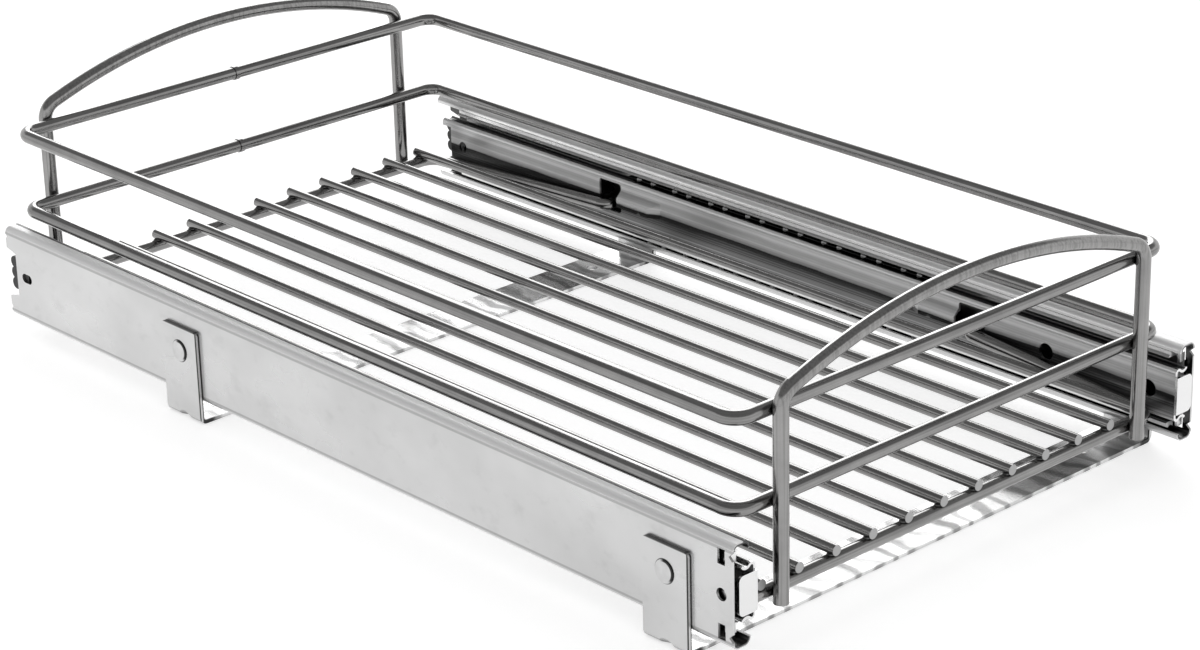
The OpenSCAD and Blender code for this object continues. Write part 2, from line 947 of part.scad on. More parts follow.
module end_frame(y) {
    // Everything hangs from the top of the arch
    corner_drop = arch_top - arch_corner_z;
    leg_length = arch_corner_z - leg_bottom;
    translate([0, y, arch_top]) {
        for (way = [-1, 1]) {
            translate([way * leg_x, 0, -corner_drop - leg_length]) {
                cylinder(d = leg_d, h = leg_length);
            }
        }
        translate([arch_corner_x, 0, -corner_drop]) {
            rotate([90, 0, 0]) {
                bend(leg_d, arch_corner_r, 90 - arch_angle);
            }
        }
        mirror([1, 0, 0]) {
            translate([arch_corner_x, 0, -corner_drop]) {
                rotate([90, 0, 0]) {
                    bend(leg_d, arch_corner_r, 90 - arch_angle);
                }
            }
        }
        translate([0, 0, -arch_r]) {
            rotate([90, 0, 0]) {
                rotate([0, 0, 90 - arch_angle]) {
                    bend(leg_d, arch_r, 2 * arch_angle);
                }
            }
        }
    }
}

// Half of a support rod. Its cross part is at y = 0, its corner and arm lie in a plane that
// climbs along plus Y up to the height of the hook.
module half_support_rod(arm_end) {
    corner_x = arm_x - rod_corner_r;
    arm_stop = arm_end - hook_bend_r;
    climb = asin((arm_z - rod_z) / arm_end);
    translate([0, 0, rod_z]) {
        wire_x(rod_d, corner_x);
        rotate([climb, 0, 0]) {
            translate([corner_x, rod_corner_r, 0]) {
                rotate([0, 0, -90]) {
                    bend(rod_d, rod_corner_r, 90);
                }
            }
            translate([arm_x, rod_corner_r, 0]) {
                wire_y(rod_d, arm_stop - rod_corner_r);
            }
            // Hook that turns out into the drawer member
            translate([arm_x + hook_bend_r, arm_stop, 0]) {
                rotate([0, 0, 90]) {
                    bend(rod_d, hook_bend_r, 90);
                }
            }
            translate([arm_x + hook_bend_r, arm_end, 0]) {
                wire_x(rod_d, hook_end);
            }
        }
    }
}

module support_rod(arm_end) {
    half_support_rod(arm_end);
    mirror([1, 0, 0]) {
        half_support_rod(arm_end);
    }
}

module floor_wire(i) {
    translate([-floor_width / 2 + (i - 1) * floor_pitch, floor_front, floor_z]) {
        wire_y(floor_d, floor_rear - floor_front);
    }
}

// Each node in its place in the row frame

module place(tint) {
    color(tint) {
        translate([0, row_shift, 0]) {
            children();
        }
    }
}

place(chrome_tint) bracket(front_strap_y);  // front_bracket
place(chrome_tint) bracket(rear_strap_y);  // rear_bracket
place(chrome_tint) bracket_rivets();
place(wire_tint) ring(upper_ring_z);  // upper_ring
place(wire_tint) ring(lower_ring_z);  // lower_ring
place(wire_tint) end_frame(leg_front);  // front_end_frame
place(wire_tint) end_frame(leg_rear);  // rear_end_frame
union() {  // front_support_rod
    place(wire_tint) translate([0, rod_front, 0]) support_rod(front_hook_y - rod_front);
}
union() {  // rear_support_rod
    place(wire_tint) translate([0, rod_rear, 0]) mirror([0, 1, 0]) {
        support_rod(rod_rear - rear_hook_y);
    }
}
for (side = ["left", "right"]) {
    place(steel) outer_member(side);
    place(steel_middle) middle_member(side);
    place(steel) inner_member(side);
    place(plastic_tint) rear_bumper(side);
    union() {
        place(cage_tint) retainer(side, outer_retainer_x, ball_offset, outer_ball_z, outer_retainer_front);
    }
    union() {
        place(cage_tint) retainer(side, inner_retainer_x, inner_ball_offset, inner_ball_z,
            inner_retainer_front);
    }
    union() {
        place(steel) balls(side, ball_offset, outer_ball_z, outer_retainer_front);
    }
    union() {
        place(steel) balls(side, inner_ball_offset, inner_ball_z, inner_retainer_front);
    }
}
for (i = [1 : floor_wire_count]) {
    place(wire_tint) floor_wire(i);
}
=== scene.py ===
# Pull out wire basket on two ball bearing slides: finishes, weld beads, camera and light.
# Metres. X runs across the cabinet, the basket pulls out along minus Y, Z is up.
import bpy
import math
from mathutils import Matrix, Vector


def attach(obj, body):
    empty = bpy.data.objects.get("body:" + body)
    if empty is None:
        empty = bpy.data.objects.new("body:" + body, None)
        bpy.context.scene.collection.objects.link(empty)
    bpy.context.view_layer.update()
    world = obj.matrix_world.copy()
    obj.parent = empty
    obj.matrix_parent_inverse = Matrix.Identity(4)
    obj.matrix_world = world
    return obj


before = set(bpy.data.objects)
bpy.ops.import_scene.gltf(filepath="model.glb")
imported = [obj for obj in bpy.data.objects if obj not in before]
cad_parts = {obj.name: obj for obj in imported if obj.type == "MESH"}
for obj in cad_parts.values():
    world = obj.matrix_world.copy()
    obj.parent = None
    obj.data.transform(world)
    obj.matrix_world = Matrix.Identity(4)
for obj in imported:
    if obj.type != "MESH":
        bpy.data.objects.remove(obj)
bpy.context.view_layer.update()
bpy.ops.object.select_all(action="DESELECT")
print("frame loaded:", len(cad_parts), "nodes")


# small helpers for building materials

nodeSpacing = 180  # shader nodes stand in one row, in the order they are made


def newMaterial(name):
    mat = bpy.data.materials.new(name)
    mat.use_nodes = True
    mat.node_tree.nodes.clear()
    return mat, mat.node_tree


def addNode(tree, kind, **values):
    # a value is the node's own setting of that name, or else one of its inputs
    made = tree.nodes.new(kind)
    made.location = (nodeSpacing * len(tree.nodes), 0)
    for key, value in values.items():
        if hasattr(made, key):
            setattr(made, key, value)
        else:
            made.inputs[key.replace("_", " ")].default_value = value
    return made


def plug(tree, value, socket):
    # a socket gets a link, a number or a colour
    if isinstance(value, bpy.types.NodeSocket):
        tree.links.new(value, socket)
    elif isinstance(value, tuple):
        socket.default_value = (*value, 1)
    else:
        socket.default_value = value


def calc(tree, operation, first, second=0.0, third=0.0):
    node = addNode(tree, "ShaderNodeMath", operation=operation)
    for value, socket in zip((first, second, third), node.inputs):
        plug(tree, value, socket)
    return node.outputs[0]


def chained(tree, operation, values):
    # one operation over several values, such as their product
    result = values[0]
    for value in values[1:]:
        result = calc(tree, operation, result, value)
    return result


def times(tree, *values):
    return chained(tree, "MULTIPLY", values)


def largest(tree, *values):
    return chained(tree, "MAXIMUM", values)


def opposite(tree, mask):
    return calc(tree, "SUBTRACT", 1.0, mask)


def howFar(tree, across, up):
    # distance from a point, given along two directions
    squares = [calc(tree, "POWER", side, 2) for side in (across, up)]
    return calc(tree, "SQRT", calc(tree, "ADD", *squares))


def stepUp(tree, value, start, end):
    # 0 at the start, 1 at the end, soft between
    node = addNode(tree, "ShaderNodeMapRange", interpolation_type="SMOOTHSTEP")
    node.inputs["From Min"].default_value = start
    node.inputs["From Max"].default_value = end
    plug(tree, value, node.inputs["Value"])
    return node.outputs["Result"]


def grey(value, warm=0.0):
    return (value * (1 + warm), value, value * (1 - warm))


def ramp(tree, source, stops, warm=0.0):
    # each stop is a place and the grey that it has there
    node = addNode(tree, "ShaderNodeValToRGB")
    marks = node.color_ramp.elements
    for mark, (place, tone) in ((marks[0], stops[0]), (marks[-1], stops[-1])):
        mark.position, mark.color = place, (*grey(tone, warm), 1)
    for place, tone in stops[1:-1]:
        marks.new(place).color = (*grey(tone, warm), 1)
    tree.links.new(source, node.inputs["Fac"])
    return node.outputs["Color"]


def objectCoords(tree):
    return addNode(tree, "ShaderNodeTexCoord").outputs["Object"]


def stretchedNoise(tree, scale, stretch, detail, rough):
    # noise over the object's own coordinates, drawn out where its stretch is small
    mapping = addNode(tree, "ShaderNodeMapping")
    mapping.inputs["Scale"].default_value = stretch
    tex = addNode(tree, "ShaderNodeTexNoise", Scale=scale, Detail=detail, Roughness=rough)
    tree.links.new(objectCoords(tree), mapping.inputs["Vector"])
    tree.links.new(mapping.outputs["Vector"], tex.inputs["Vector"])
    return tex.outputs["Fac"]


def mixTone(tree, factor, toneA, toneB, kind="MIX"):
    # a Mix node keeps its colours in the inputs 6 and 7 and gives its colour as output 2
    mix = addNode(tree, "ShaderNodeMix", data_type="RGBA", blend_type=kind)
    for socket, value in ((mix.inputs[0], factor), (mix.inputs[6], toneA), (mix.inputs[7], toneB)):
        plug(tree, value, socket)
    return mix.outputs[2]


def shaded(tree, colour, by):
    return mixTone(tree, 1.0, colour, by, "MULTIPLY")


def placeOnPart(tree):
    split = addNode(tree, "ShaderNodeSeparateXYZ")
    tree.links.new(objectCoords(tree), split.inputs[0])
    return split.outputs


creviceLook = {"samples": 6, "openFrom": 0.62}


def paintedCreviceShade(tree, look):
    # painted shade: an ambient occlusion darkens the colour where sheets and wires lie close together
    shut = addNode(tree, "ShaderNodeAmbientOcclusion", samples=creviceLook["samples"],
                   Distance=look["creviceReach"])
    return ramp(tree, shut.outputs["AO"], [(0.0, look["paintedCreviceShadeTone"]), (creviceLook["openFrom"], 1.0)])


def finishMetal(tree, colour, roughness, height, bump, metallic=1.0, depth=0.0002):
    shader = addNode(tree, "ShaderNodeBsdfPrincipled")
    relief = addNode(tree, "ShaderNodeBump", Strength=bump, Distance=depth)
    out = addNode(tree, "ShaderNodeOutputMaterial")
    plug(tree, metallic, shader.inputs["Metallic"])
    plug(tree, colour, shader.inputs["Base Color"])
    plug(tree, roughness, shader.inputs["Roughness"])
    tree.links.new(height, relief.inputs["Height"])
    tree.links.new(relief.outputs["Normal"], shader.inputs["Normal"])
    tree.links.new(shader.outputs["BSDF"], out.inputs["Surface"])


# In the looks below a noise is its scale, stretch, detail and roughness, a pair of places is where
# a change starts and ends, and a list of pairs is the places and greys of a ramp.

slidePlace = {"outerFace": 0.1425, "middleHeight": 0.03325}


def slideSection(tree):
    # depth behind the slide's outer face, height from its middle, and how far along and across
    place = placeOnPart(tree)
    height = calc(tree, "SUBTRACT", place["Z"], slidePlace["middleHeight"])
    return {
        "depth": calc(tree, "SUBTRACT", slidePlace["outerFace"], calc(tree, "ABSOLUTE", place["X"])),
        "height": height,
        "away": calc(tree, "ABSOLUTE", height),
        "along": place["Y"],
        "across": place["X"],
    }


zincLook = {
    "tone": 0.625, "spread": 0.035, "rough": 0.30, "roughSpread": 0.05,
    "mottle": (26, (1, 0.7, 1), 3, 0.5), "mottlePlaces": (0.36, 0.5, 0.66), "roughPlaces": (0.3, 0.7),
    "fleck": (150, (1, 0.6, 1), 4, 0.6), "fleckTones": [(0.28, 0.93), (0.45, 1.0)],
    "grain": (420, (3, 0.2, 3), 3, 0.5), "grainBump": 0.06,
}


def zincTone(tree, look):
    # blotchy plate with hardly any grain
    mottle = stretchedNoise(tree, *look["mottle"])
    fleck = stretchedNoise(tree, *look["fleck"])
    tones = [look["tone"] + share * look["spread"] for share in (-1, 0, 1)]
    base = ramp(tree, mottle, list(zip(look["mottlePlaces"], tones)))
    colour = shaded(tree, base, ramp(tree, fleck, look["fleckTones"]))
    dullShiny = [look["rough"] + share * look["roughSpread"] for share in (1, -1)]
    return colour, ramp(tree, mottle, list(zip(look["roughPlaces"], dullShiny)))


outerLook = {
    **zincLook,
    # the fold: centres of its two bends, and the pair of radii at which its outer skin starts
    "nearBend": 0.00335, "farBend": 0.0066, "bendHeight": 0.0195, "skin": (0.0027, 0.0029),
    "upperHalf": (0.0, 0.001), "leftSlide": (0.001, -0.001),
    # a painted dark reflection line where the flat side turns into the fold
    "lineFrom": (0.0190, 0.0194), "lineTo": (0.0206, 0.0202), "lineDepth": (0.0030, 0.0020),
    "lineTone": 0.36, "lineShare": 0.8,
    # the top of the fold painted bright as a highlight, with the lines of the drawing die
    "foldHighlightFrom": (0.0204, 0.0209), "foldHighlightTones": [(0.38, 0.80), (0.5, 0.97)], "foldHighlightRough": 0.42,
    "drawLines": (160, (1, 0.01, 1), 3, 0.5),
    # the far side of the fold: a painted dark reflection on the left slide, streaked on the right one
    "farLeft": (0.0058, 0.0063), "farLeftTone": 0.03,
    "farRight": (0.0078, 0.0084), "farRightTones": [(0.40, 0.62), (0.55, 0.96)],
    # grease and painted shade inside the races, and a painted highlight on the cut edge of the lips
    "behindWeb": (0.00105, 0.00118), "webHeight": (0.0190, 0.0188), "greaseAndShadeTone": 0.03, "greaseAndShadeShare": 0.9,
    "lipDepth": (0.0087, 0.0088), "lipHeight": (0.01935, 0.01925), "lipHighlightTone": 0.95,
    "creviceReach": 0.003, "paintedCreviceShadeTone": 0.04, "highlightMetalLoss": 0.8,
}


def outerZinc(name, look):
    # bright outside, a painted highlight along the fold, dark inside the races from grease and painted shade
    mat, tree = newMaterial(name)
    colour, rough = zincTone(tree, look)
    place = slideSection(tree)
    depth, away = place["depth"], place["away"]
    before = calc(tree, "SUBTRACT", look["nearBend"], depth)
    beyond = calc(tree, "SUBTRACT", depth, look["farBend"])
    over = largest(tree, calc(tree, "SUBTRACT", away, look["bendHeight"]), 0.0)
    skin = stepUp(tree, howFar(tree, largest(tree, before, beyond, 0.0), over), *look["skin"])
    upper = times(tree, skin, stepUp(tree, place["height"], *look["upperHalf"]))

    # painted dark reflection where the flat side turns into the fold
    bendReflectionLine = times(tree, stepUp(tree, away, *look["lineFrom"]), stepUp(tree, away, *look["lineTo"]),
                     stepUp(tree, depth, *look["lineDepth"]), look["lineShare"])
    colour = mixTone(tree, bendReflectionLine, colour, grey(look["lineTone"]))
    # painted highlight on the top of the fold
    foldHighlight = times(tree, upper, stepUp(tree, away, *look["foldHighlightFrom"]))
    drawn = stretchedNoise(tree, *look["drawLines"])
    colour = mixTone(tree, foldHighlight, colour, ramp(tree, drawn, look["foldHighlightTones"]))
    rough = mixTone(tree, foldHighlight, rough, grey(look["foldHighlightRough"]))

    # painted dark reflection on the far side of the left slide's fold
    leftSlide = stepUp(tree, place["across"], *look["leftSlide"])
    farLeft = times(tree, leftSlide, stepUp(tree, depth, *look["farLeft"]))
    farSide = times(tree, upper, largest(tree, farLeft, stepUp(tree, depth, *look["farRight"])))
    farTone = mixTone(tree, leftSlide, ramp(tree, drawn, look["farRightTones"]), grey(look["farLeftTone"]))
    colour = mixTone(tree, farSide, colour, farTone)

    # grease and painted shade darken the inside of the races
    behindWeb = stepUp(tree, depth, *look["behindWeb"])
    inside = times(tree, behindWeb, opposite(tree, skin))
    web = times(tree, behindWeb, stepUp(tree, away, *look["webHeight"]))
    lip = times(tree, stepUp(tree, depth, *look["lipDepth"]), stepUp(tree, away, *look["lipHeight"]))
    greaseAndShade = times(tree, largest(tree, inside, web), look["greaseAndShadeShare"], opposite(tree, lip))
    colour = mixTone(tree, greaseAndShade, colour, grey(look["greaseAndShadeTone"]))
    colour = shaded(tree, colour, paintedCreviceShade(tree, look))
    # painted highlight on the cut edge of the lips
    colour = mixTone(tree, lip, colour, grey(look["lipHighlightTone"]))
    plated = opposite(tree, times(tree, largest(tree, foldHighlight, lip), look["highlightMetalLoss"]))
    finishMetal(tree, colour, rough, stretchedNoise(tree, *look["grain"]), look["grainBump"], plated)
    return mat


middleLook = {
    **zincLook, "tone": 0.82, "grain": (420, (3, 0.1, 3), 3, 0.5),
    "filmDepth": (0.0082, 0.0078), "filmFrom": (-0.2472, -0.2468), "filmShadeTone": 0.08, "filmShadeShare": 0.7,
    "creviceReach": 0.0014, "paintedCreviceShadeTone": 0.04,
}


def middleZinc(name, look):
    # bright lips, and a film of grease and painted shade on the rest from just behind the front end
    mat, tree = newMaterial(name)
    colour, rough = zincTone(tree, look)
    place = slideSection(tree)
    # grease and painted shade from just behind the front end
    film = times(tree, stepUp(tree, place["depth"], *look["filmDepth"]),
                 stepUp(tree, place["along"], *look["filmFrom"]), look["filmShadeShare"])
    colour = mixTone(tree, film, colour, grey(look["filmShadeTone"]))
    colour = shaded(tree, colour, paintedCreviceShade(tree, look))
    finishMetal(tree, colour, rough, stretchedNoise(tree, *look["grain"]), look["grainBump"])
    return mat


drawerLook = {
    **zincLook, "tone": 0.62, "rough": 0.18,
    "lines": (60, (1, 0.012, 14), 5, 0.6), "lineBump": 0.10,
    # painted reflections: greys of the web from its lower to its upper edge, where their borders wander
    "webEdges": (-0.0135, 0.0135), "wander": 0.0022, "cloud": (70, (1, 0.35, 1), 3, 0.5),
    "reflectionBands": [(0.00, 0.42), (0.16, 0.20), (0.30, 0.13), (0.375, 0.10), (0.395, 0.035),
              (0.515, 0.04), (0.535, 0.50), (0.60, 0.76), (0.70, 0.74), (0.78, 0.46),
              (0.84, 0.50), (0.90, 0.72), (1.00, 0.80)],
    "faceDepth": (0.0112, 0.0116), "faceLoss": 0.45, "faceRough": 0.27,
    "streaks": [(0.40, 0.30), (0.50, 0.85), (0.62, 1.45)], "streakShare": 0.3, "lowerShadeShare": 0.6,
    "lowerHalf": (0.001, -0.001),
    # the stop flange stands before this place along the slide
    "behindStop": (-0.25368, -0.25355), "stopTone": 0.78,
    # what the race hides behind the web is darkened by grease and painted shade
    "hiddenDepth": (0.0115, 0.0112), "hiddenFrom": (-0.2530, -0.2525),
    "hiddenShadeTone": 0.06, "hiddenShadeShare": 0.75,
    "creviceReach": 0.004, "paintedCreviceShadeTone": 0.04,
}


def drawerZinc(name, look):
    # rolled and drawn sheet: fine lines along it, with painted reflection bands on the web and painted shade
    # in its lower half
    mat, tree = newMaterial(name)
    colour, rough = zincTone(tree, look)
    place = slideSection(tree)
    lines = stretchedNoise(tree, *look["lines"])
    cloud = calc(tree, "SUBTRACT", stretchedNoise(tree, *look["cloud"]), 0.5)
    wandering = calc(tree, "ADD", place["height"], times(tree, cloud, look["wander"]))
    # painted reflections as bands across the web
    reflectionBands = ramp(tree, stepUp(tree, wandering, *look["webEdges"]), look["reflectionBands"])
    onFace = stepUp(tree, place["depth"], *look["faceDepth"])
    behindStop = stepUp(tree, place["along"], *look["behindStop"])
    webFace = times(tree, onFace, behindStop)
    colour = mixTone(tree, webFace, colour, reflectionBands)

    # painted shade: the drawn lines darken the lower half more
    low = stepUp(tree, place["height"], *look["lowerHalf"])
    streakShare = calc(tree, "MULTIPLY_ADD", low, look["lowerShadeShare"], look["streakShare"])
    streaks = ramp(tree, lines, look["streaks"])
    colour = mixTone(tree, times(tree, behindStop, streakShare), colour, streaks, "MULTIPLY")
    colour = mixTone(tree, opposite(tree, behindStop), colour, grey(look["stopTone"]))
    # grease and painted shade behind the web
    hiddenShade = times(tree, stepUp(tree, place["depth"], *look["hiddenDepth"]),
                   stepUp(tree, place["along"], *look["hiddenFrom"]), look["hiddenShadeShare"])
    colour = mixTone(tree, hiddenShade, colour, grey(look["hiddenShadeTone"]))
    colour = shaded(tree, colour, paintedCreviceShade(tree, look))
    plated = opposite(tree, times(tree, webFace, look["faceLoss"]))
    rough = mixTone(tree, onFace, rough, grey(look["faceRough"]))
    finishMetal(tree, colour, rough, lines, look["lineBump"], plated)
    return mat


wireLook = {
    "tone": 0.26, "shade": 1.0, "spread": 0.025, "warm": 0.01, "rough": 0.17, "roughSpread": 0.04,
    "cloud": (60, (1, 1, 1), 4, 0.6), "cloudPlaces": (0.3, 0.7),
    # fine lines along the wire: level ones here
    "lines": (300, (0.05, 0.05, 4), 3, 0.5), "lineTones": [(0.36, 0.80), (0.56, 1.06)],
    "peel": (700, (1, 1, 1), 2, 0.5), "peelBump": 0.18, "peelDepth": 0.00006,
    # sheared ends, for wires that have them, as places along the slide
    "ends": None, "cutTone": 0.42, "cutRough": 0.45, "cutSkin": (0.0002, 0.0001),
    "creviceReach": 0.0035, "paintedCreviceShadeTone": 0.02,
}
# each kind's shade is painted light: a lighter or darker copy of the same plating's tone
rodLook = {**wireLook, "shade": 1.05}
endFrameLook = {**wireLook, "shade": 1.1, "lines": (300, (3, 3, 0.03), 3, 0.5)}
floorWireLook = {**wireLook, "shade": 0.95, "lines": (300, (4, 0.02, 4), 3, 0.5), "ends": (-0.2453, 0.2482)}


def nickelWire(name, look):
    mat, tree = newMaterial(name)
    lines = stretchedNoise(tree, *look["lines"])
    cloud = stretchedNoise(tree, *look["cloud"])
    low, high = look["cloudPlaces"]
    tone, spread = look["tone"] * look["shade"], look["spread"]
    colour = ramp(tree, cloud, [(low, tone - spread), (high, tone + spread)], look["warm"])
    colour = shaded(tree, colour, ramp(tree, lines, look["lineTones"]))
    dull, shiny = look["rough"] + look["roughSpread"], look["rough"] - look["roughSpread"]
    rough = ramp(tree, cloud, [(low, dull), (high, shiny)])
    if look["ends"]:
        # the sheared ends are paler and duller than the drawn wire
        along = placeOnPart(tree)["Y"]
        frontEnd, backEnd = look["ends"]
        front = stepUp(tree, along, *(frontEnd + skin for skin in look["cutSkin"]))
        back = stepUp(tree, along, *(backEnd - skin for skin in look["cutSkin"]))
        cutFace = largest(tree, front, back)
        colour = mixTone(tree, cutFace, colour, grey(look["cutTone"]))
        rough = mixTone(tree, cutFace, rough, grey(look["cutRough"]))
    colour = shaded(tree, colour, paintedCreviceShade(tree, look))
    peel = stretchedNoise(tree, *look["peel"])
    finishMetal(tree, colour, rough, peel, look["peelBump"], depth=look["peelDepth"])
    return mat


rivetPlace = {"height": 0.0334, "along": (-0.2177, 0.1033)}


def riseFromRivet(tree, place):
    return calc(tree, "SUBTRACT", place["Z"], rivetPlace["height"])


strapLook = {
    # the flat: a mirror with soft dark bands and swirls painted on as reflections
    "swirl": (22, (1, 1.6, 1), 2, 0.45), "swirlTones": [(0.35, 0.72), (0.65, 1.0)], "swirlBump": 0.25,
    "wave": {"Scale": 26, "Distortion": 7, "Detail": 2, "Detail_Scale": 1.2},
    "waveTones": [(0.12, 0.40), (0.34, 0.66), (0.6, 0.86)], "mirrorShare": 0.8, "mirrorRough": 0.20,
    # the tabs start beyond the plate's end
    "plateEnd": (0.134, 0.138), "shadedTabTop": (0.0447, 0.0452), "tabTopShadeTone": 0.13,
    "tabFronts": (-0.2307, 0.0903), "tabEdge": (0.0007, 0.0005), "edgeShadeTone": 0.05,
    "outerCorner": (0.1439, 0.1441), "innerCorner": (0.1431, 0.1429),
    "seamTo": (0.0056, 0.0054), "seamFrom": (0.0046, 0.0048), "seamShadeTone": 0.04, "seamShare": 0.85,
    "creviceReach": 0.005, "paintedCreviceShadeTone": 0.02, "reliefDepth": 0.0008,
}


def brightStrap(name, look):
    # mirror plate with painted reflections on the flat, duller on the tabs, painted shade along their tops
    mat, tree = newMaterial(name)
    place = placeOnPart(tree)
    swirl = stretchedNoise(tree, *look["swirl"])
    wave = addNode(tree, "ShaderNodeTexWave", **look["wave"])
    tree.links.new(objectCoords(tree), wave.inputs["Vector"])
    # painted reflections: soft dark bands and swirls on the flat
    reflectionBands = ramp(tree, wave.outputs["Fac"], look["waveTones"])
    mirror = mixTone(tree, look["mirrorShare"], reflectionBands, ramp(tree, swirl, look["swirlTones"]), "MULTIPLY")
    zinc, zincRough = zincTone(tree, zincLook)
    across = calc(tree, "ABSOLUTE", place["X"])
    onTab = stepUp(tree, across, *look["plateEnd"])
    colour = mixTone(tree, onTab, mirror, zinc)
    rough = mixTone(tree, onTab, grey(look["mirrorRough"]), zincRough)
    # painted shade along the tabs' tops
    colour = mixTone(tree, stepUp(tree, place["Z"], *look["shadedTabTop"]), colour, grey(look["tabTopShadeTone"]))

    # the tabs' upright edges: painted shade lines at their corners, beside the bright cut
    corner = largest(tree, *(stepUp(tree, across, *look[side]) for side in ("outerCorner", "innerCorner")))
    for tabFront in look["tabFronts"]:
        fromFront = calc(tree, "ABSOLUTE", calc(tree, "SUBTRACT", place["Y"], tabFront))
        close = stepUp(tree, fromFront, *look["tabEdge"])
        colour = mixTone(tree, times(tree, close, corner, onTab), colour, grey(look["edgeShadeTone"]))
    # a dark seam round each rivet head: the joint, darkened with painted contact shade
    up = riseFromRivet(tree, place)
    for rivetAlong in rivetPlace["along"]:
        away = howFar(tree, calc(tree, "SUBTRACT", place["Y"], rivetAlong), up)
        seam = times(tree, stepUp(tree, away, *look["seamTo"]), stepUp(tree, away, *look["seamFrom"]))
        colour = mixTone(tree, times(tree, seam, look["seamShare"]), colour, grey(look["seamShadeTone"]))
    colour = shaded(tree, colour, paintedCreviceShade(tree, look))
    finishMetal(tree, colour, rough, swirl, look["swirlBump"], depth=look["reliefDepth"])
    return mat


ballLook = {
    "tone": 0.22, "darker": 0.05, "lighter": 0.03, "rough": 0.12, "duller": 0.05,
    "film": (200, (1, 1, 1), 3, 0.5), "filmPlaces": (0.3, 0.7), "filmBump": 0.1,
    "creviceReach": 0.002, "paintedCreviceShadeTone": 0.08, "head": None,
}
rivetLook = {**ballLook, "tone": 0.62, "rough": 0.3}
# the head's painted dark reflection crescent
rivetLook["head"] = {
    "rimFrom": (0.0041, 0.0044), "rimTo": (0.0060, 0.0055), "lean": (0.0002, 0.0024),
    "leanUp": 0.5, "leanFront": 0.87, "tone": 0.04,
}


def polished(name, look):
    # a round head gets a painted dark reflection, a crescent on its upper front side
    mat, tree = newMaterial(name)
    film = stretchedNoise(tree, *look["film"])
    low, high = look["filmPlaces"]
    tone, rough, head = look["tone"], look["rough"], look["head"]
    colour = ramp(tree, film, [(low, tone - look["darker"]), (high, tone + look["lighter"])])
    shine = ramp(tree, film, [(low, rough + look["duller"]), (high, rough)])
    colour = shaded(tree, colour, paintedCreviceShade(tree, look))
    if head:
        place = placeOnPart(tree)
        up = riseFromRivet(tree, place)
        for rivetAlong in rivetPlace["along"]:
            back = calc(tree, "SUBTRACT", place["Y"], rivetAlong)
            away = howFar(tree, back, up)
            lean = calc(tree, "SUBTRACT", times(tree, up, head["leanUp"]),
                        times(tree, back, head["leanFront"]))
            crescentReflection = times(tree, stepUp(tree, away, *head["rimFrom"]), stepUp(tree, lean, *head["lean"]),
                             stepUp(tree, away, *head["rimTo"]))
            colour = mixTone(tree, crescentReflection, colour, grey(head["tone"]))
    finishMetal(tree, colour, shine, film, look["filmBump"])
    return mat


retainerLook = {
    "skin": (120, (1, 0.3, 1), 4, 0.6), "tones": [(0.3, 0.03), (0.7, 0.07)],
    "rough": [(0.3, 0.25), (0.7, 0.42)], "bump": 0.2, "metallic": 1.0,
}
bumperLook = {
    "skin": (700, (1, 1, 1), 3, 0.6), "tones": [(0.3, 0.008), (0.7, 0.014)],
    "rough": [(0.3, 0.42), (0.7, 0.55)], "bump": 0.3, "metallic": 0.0,
}
weldLook = {
    "skin": (500, (1, 1, 1), 4, 0.6), "tones": [(0.3, 0.05), (0.7, 0.14)],
    "rough": [(0.3, 0.45), (0.7, 0.3)], "bump": 0.4, "metallic": 1.0,
}


def darkSkin(name, look):
    # oiled strip, moulded plastic and weld scale differ only in their numbers
    mat, tree = newMaterial(name)
    skin = stretchedNoise(tree, *look["skin"])
    colour, rough = ramp(tree, skin, look["tones"]), ramp(tree, skin, look["rough"])
    finishMetal(tree, colour, rough, skin, look["bump"], look["metallic"])
    return mat


# by the word that a node's name holds; bracket_rivets holds two, and the first one counts
finishes = {
    "outer_member": outerZinc("zincCabinetMember", outerLook),
    "middle_member": middleZinc("zincMiddleMember", middleLook),
    "inner_member": drawerZinc("zincDrawerMember", drawerLook),
    "end_frame": nickelWire("nickelEndFrame", endFrameLook),
    "ring": nickelWire("nickelRing", wireLook),
    "support_rod": nickelWire("nickelSupportRod", rodLook),
    "floor_wire": nickelWire("nickelFloorWire", floorWireLook),
    "rivets": polished("plainRivet", rivetLook),
    "bracket": brightStrap("brightStrap", strapLook),
    "balls": polished("polishedBall", ballLook),
    "retainer": darkSkin("oiledRetainer", retainerLook),
    "bumper": darkSkin("blackBumper", bumperLook),
}
weldFinish = darkSkin("weldBead", weldLook)


def finishOf(node):
    return next(finish for word, finish in finishes.items() if word in node)


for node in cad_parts:
    for slot in bpy.data.objects[node].material_slots:
        slot.material = finishOf(node)
print("finishes set")


# weld beads under every floor wire and at the legs, mostly sunk between the wires they join
beadLook = {"segments": 14, "rings": 8, "uneven": 0.12, "uniform": 0.4}
floorWelds = {
    "count": 12, "firstX": -0.118, "pitch": 0.0214545, "alongY": {"front": -0.2427, "rear": 0.2456},
    "height": 0.0256, "size": (0.0030, 0.0019, 0.0010), "firstSeed": 1,
}
legWelds = {
    "legX": 0.1105, "alongY": {"front": -0.2456, "rear": 0.2485}, "heights": (0.0226, 0.062, 0.1008),
    "size": (0.0016, 0.0014, 0.0030), "firstSeed": 31,
}


def oneBead(at, size, seed):
    bpy.ops.object.select_all(action="DESELECT")
    bpy.ops.mesh.primitive_uv_sphere_add(segments=beadLook["segments"], ring_count=beadLook["rings"],
                                         radius=1.0, location=(0, 0, 0))
    bead = bpy.context.active_object
    bpy.ops.object.mode_set(mode="EDIT")
    bpy.ops.mesh.select_all(action="SELECT")
    bpy.ops.transform.vertex_random(offset=beadLook["uneven"], uniform=beadLook["uniform"], seed=seed)
    bpy.ops.transform.resize(value=size, center_override=(0, 0, 0))
    bpy.ops.transform.translate(value=at)
    bpy.ops.mesh.faces_shade_smooth()
    bpy.ops.object.mode_set(mode="OBJECT")
    return bead


